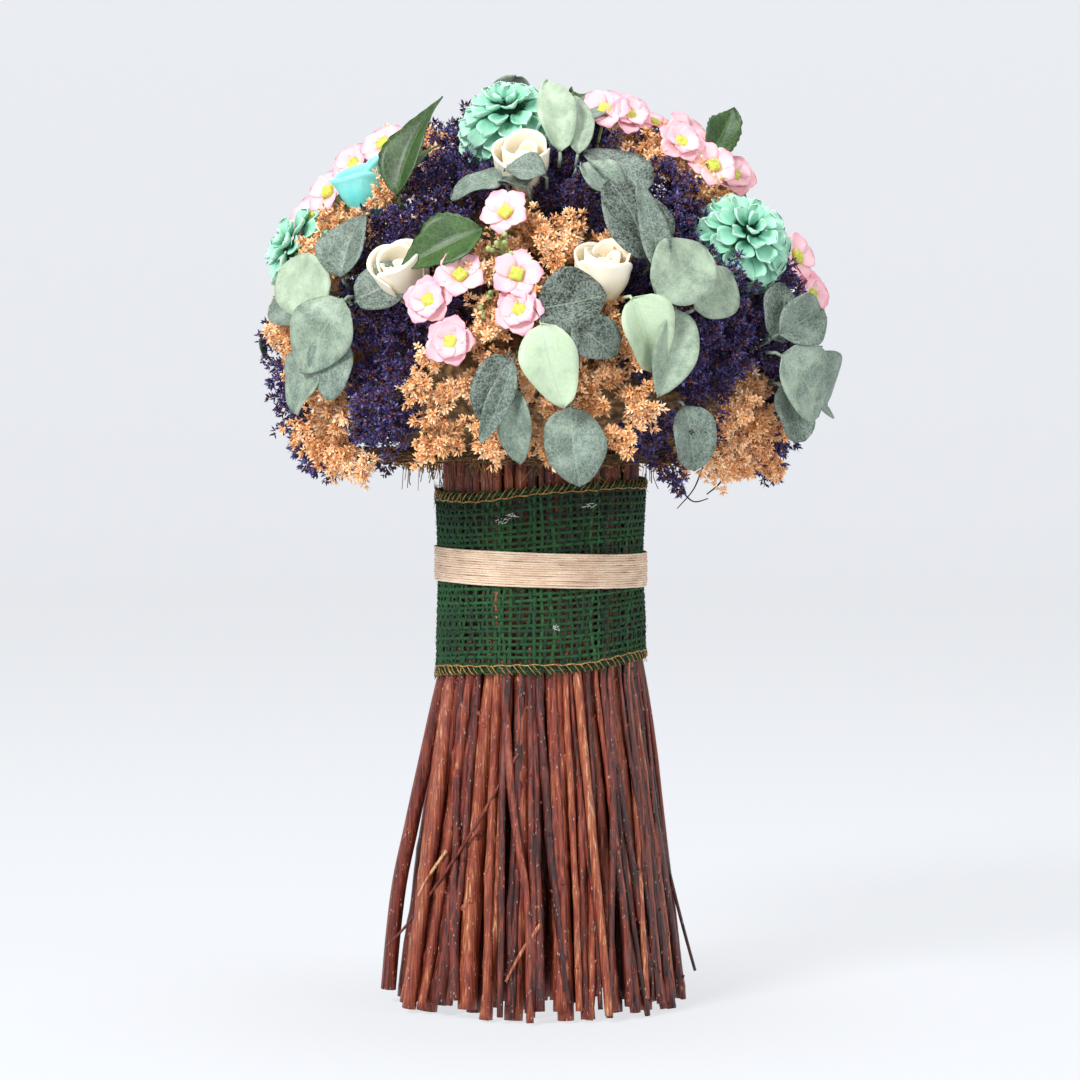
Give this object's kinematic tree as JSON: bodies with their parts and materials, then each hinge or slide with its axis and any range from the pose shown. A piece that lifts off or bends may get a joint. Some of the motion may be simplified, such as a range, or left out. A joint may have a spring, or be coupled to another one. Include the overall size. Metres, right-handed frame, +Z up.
{
  "type": "bunch of dried flowers",
  "caption": "Bunch of dried flowers: a dome of orange and navy filler, sola blooms, blossoms and eucalyptus on a twig bundle in green burlap and twine.",
  "frame": {"origin": "middle of the bunch's footprint on the surface it stands on, level with the lowest cut twig ends", "axes": "+Z up along the bundle, -Y towards the front, +X to the right seen from the front"},
  "size_m": [0.2374, 0.2356, 0.388],
  "materials": {
    "twig_bark": "matte bark",
    "inner_twig_bark": "matte bark",
    "burlap": "open woven jute",
    "twine": "twisted jute",
    "dry_grass": "dry fibre",
    "orange_floret": "dry, matte",
    "navy_floret": "dry, matte",
    "mint_sola_wood": "dyed pith, matte",
    "turquoise_sola_wood": "dyed pith, matte",
    "cream_sola_wood": "pith, matte",
    "pink_petal": "matte petal",
    "eucalyptus_leaf": "preserved leaf with a whitish bloom",
    "dark_leaf": "preserved leaf, satin"
  },
  "bodies": {
    "root": {"twig_01": "twig_bark", "twig_02": "twig_bark", "twig_03": "twig_bark", "twig_04": "twig_bark", "twig_05": "twig_bark", "twig_06": "twig_bark", "twig_07": "twig_bark", "twig_08": "twig_bark", "twig_09": "twig_bark", "twig_10": "twig_bark", "twig_11": "twig_bark", "twig_12": "twig_bark", "twig_13": "twig_bark", "twig_14": "twig_bark", "twig_15": "twig_bark", "twig_16": "twig_bark", "inner_twig_bundle": "inner_twig_bark", "burlap_wrap": "burlap", "twine_binding": "twine", "mint_flower_top": "mint_sola_wood", "mint_flower_right": "mint_sola_wood", "mint_flower_left": "mint_sola_wood", "mint_flower_back": "mint_sola_wood", "turquoise_bud": "turquoise_sola_wood", "cream_rosebud_left": "cream_sola_wood", "cream_rosebud_top": "cream_sola_wood", "cream_rosebud_right": "cream_sola_wood", "cream_rosebud_back": "cream_sola_wood", "pink_blossom_upper": "pink_petal", "pink_blossom_middle": "pink_petal", "pink_blossom_lower": "pink_petal", "pink_blossom_side": "pink_petal", "pink_blossom_crown": "pink_petal", "pink_blossom_far_left": "pink_petal", "pink_blossom_back": "pink_petal", "eucalyptus_left_upper": "eucalyptus_leaf", "eucalyptus_left_lower": "eucalyptus_leaf", "eucalyptus_top": "eucalyptus_leaf", "eucalyptus_right_dark": "eucalyptus_leaf", "eucalyptus_right_grey": "eucalyptus_leaf", "eucalyptus_right_low": "eucalyptus_leaf", "eucalyptus_front_pale": "eucalyptus_leaf", "eucalyptus_far_right": "eucalyptus_leaf", "eucalyptus_back_right": "eucalyptus_leaf", "eucalyptus_back_left": "eucalyptus_leaf", "dark_leaf_blade": "dark_leaf", "dark_leaf_top_right": "dark_leaf", "dark_leaf_far_left": "dark_leaf", "orange_filler_upper_left": "orange_floret", "navy_filler_upper_left": "navy_floret", "orange_filler_centre": "orange_floret", "navy_filler_top": "navy_floret", "navy_filler_right": "navy_floret", "orange_filler_front": "orange_floret", "navy_filler_left": "navy_floret", "orange_filler_left": "orange_floret", "orange_filler_right": "orange_floret", "navy_filler_back": "navy_floret", "orange_filler_back": "orange_floret", "dry_grass_nest": "dry_grass"}
  },
  "joints": []
}
